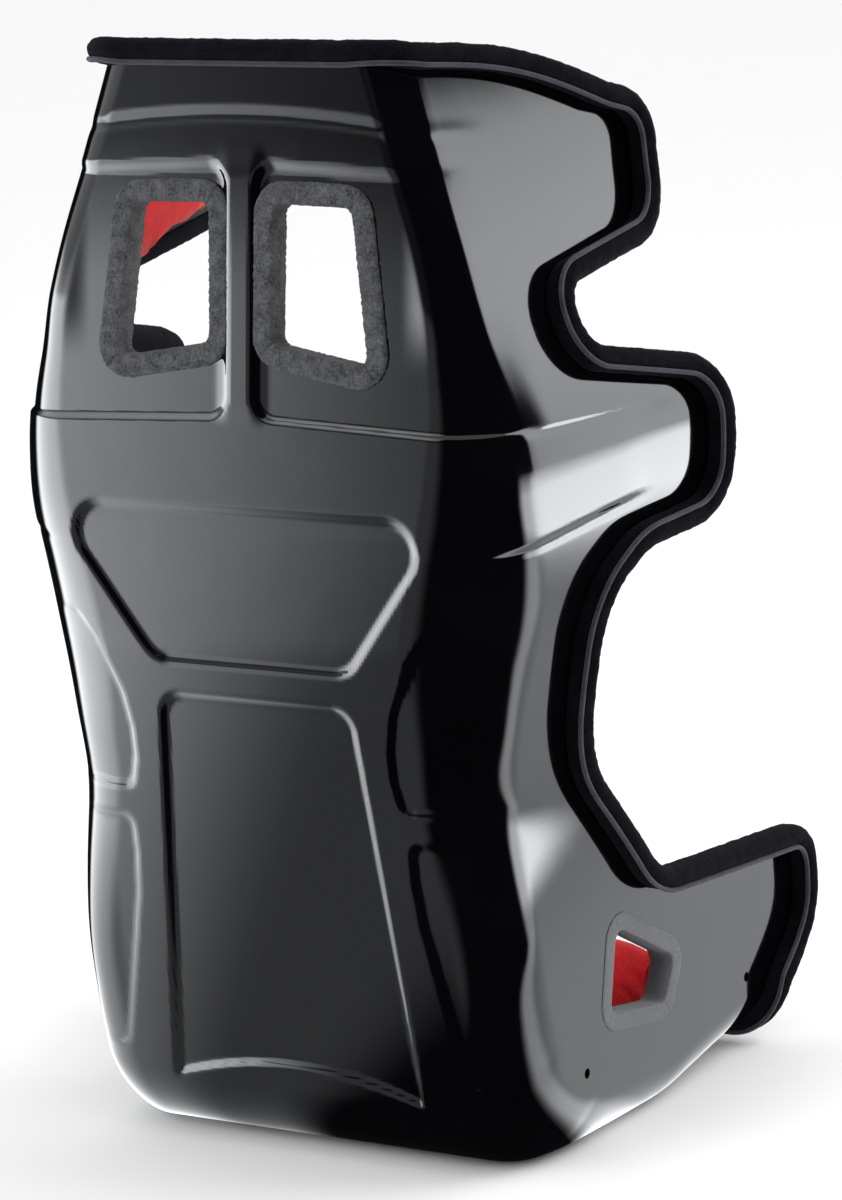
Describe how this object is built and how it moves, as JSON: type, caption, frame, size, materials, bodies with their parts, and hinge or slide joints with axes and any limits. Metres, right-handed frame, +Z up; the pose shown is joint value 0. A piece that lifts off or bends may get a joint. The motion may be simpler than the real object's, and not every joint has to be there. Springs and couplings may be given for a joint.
{
  "type": "racing seat",
  "caption": "Bucket seat with a moulded shell, velour edge trim, harness slots, side mounts, bolstered pads and lift-out cushions.",
  "frame": {"origin": "on the floor under the middle of the seat's overall width and depth; the seat stands on the flat of its pan", "axes": "+Z up; the occupant faces -Y; +X is the occupant's left"},
  "size_m": [0.5932, 0.538, 0.964],
  "materials": {
    "shell_gelcoat": "gloss",
    "trim_velour": "matt velour",
    "trim_piping": "matt",
    "slot_velour": "matt velour",
    "slot_textile": "smooth",
    "slot_rubber": "matt",
    "plate_steel": "plain",
    "insert_steel": "zinc plated",
    "lining_fabric": "matt",
    "cushion_black": "matt",
    "pad_red": "velour",
    "hook_tape": "rough"
  },
  "bodies": {
    "seat": {"shell": "shell_gelcoat", "edge_trim": "trim_velour", "edge_welt": "trim_piping", "harness_slot_trim_left": "slot_velour", "harness_slot_trim_right": "slot_velour", "lap_slot_trim_left": "slot_textile", "lap_slot_trim_right": "slot_textile", "crotch_slot_trim": "slot_rubber", "mount_plate_left": "plate_steel", "mount_plate_right": "plate_steel", "mount_inserts": "insert_steel", "inner_liner": "lining_fabric", "head_pad": "cushion_black", "head_wing_pad_left": "pad_red", "head_wing_pad_right": "pad_red", "shoulder_pad_left": "pad_red", "shoulder_pad_right": "pad_red", "waist_pad_left": "pad_red", "waist_pad_right": "pad_red", "thigh_pad_left": "pad_red", "thigh_pad_right": "pad_red", "hook_strips_back": "hook_tape", "hook_strips_seat": "hook_tape", "hook_strips_leg": "hook_tape"},
    "seat_cushion_body": {"seat_cushion": "cushion_black"},
    "leg_cushion_body": {"leg_cushion": "pad_red"},
    "back_cushion_body": {"back_cushion": "cushion_black"}
  },
  "joints": [
    {"name": "seat_cushion_lift", "type": "slide", "parent": "seat", "child": "seat_cushion_body", "axis": [0, 0, 1], "range_m": [0, 0.05]},
    {"name": "leg_cushion_lift", "type": "slide", "parent": "seat", "child": "leg_cushion_body", "axis": [0, 0, 1], "range_m": [0, 0.15]},
    {"name": "back_cushion_pull", "type": "slide", "parent": "seat", "child": "back_cushion_body", "axis": [0, -1, 0], "range_m": [0, 0.15]}
  ]
}
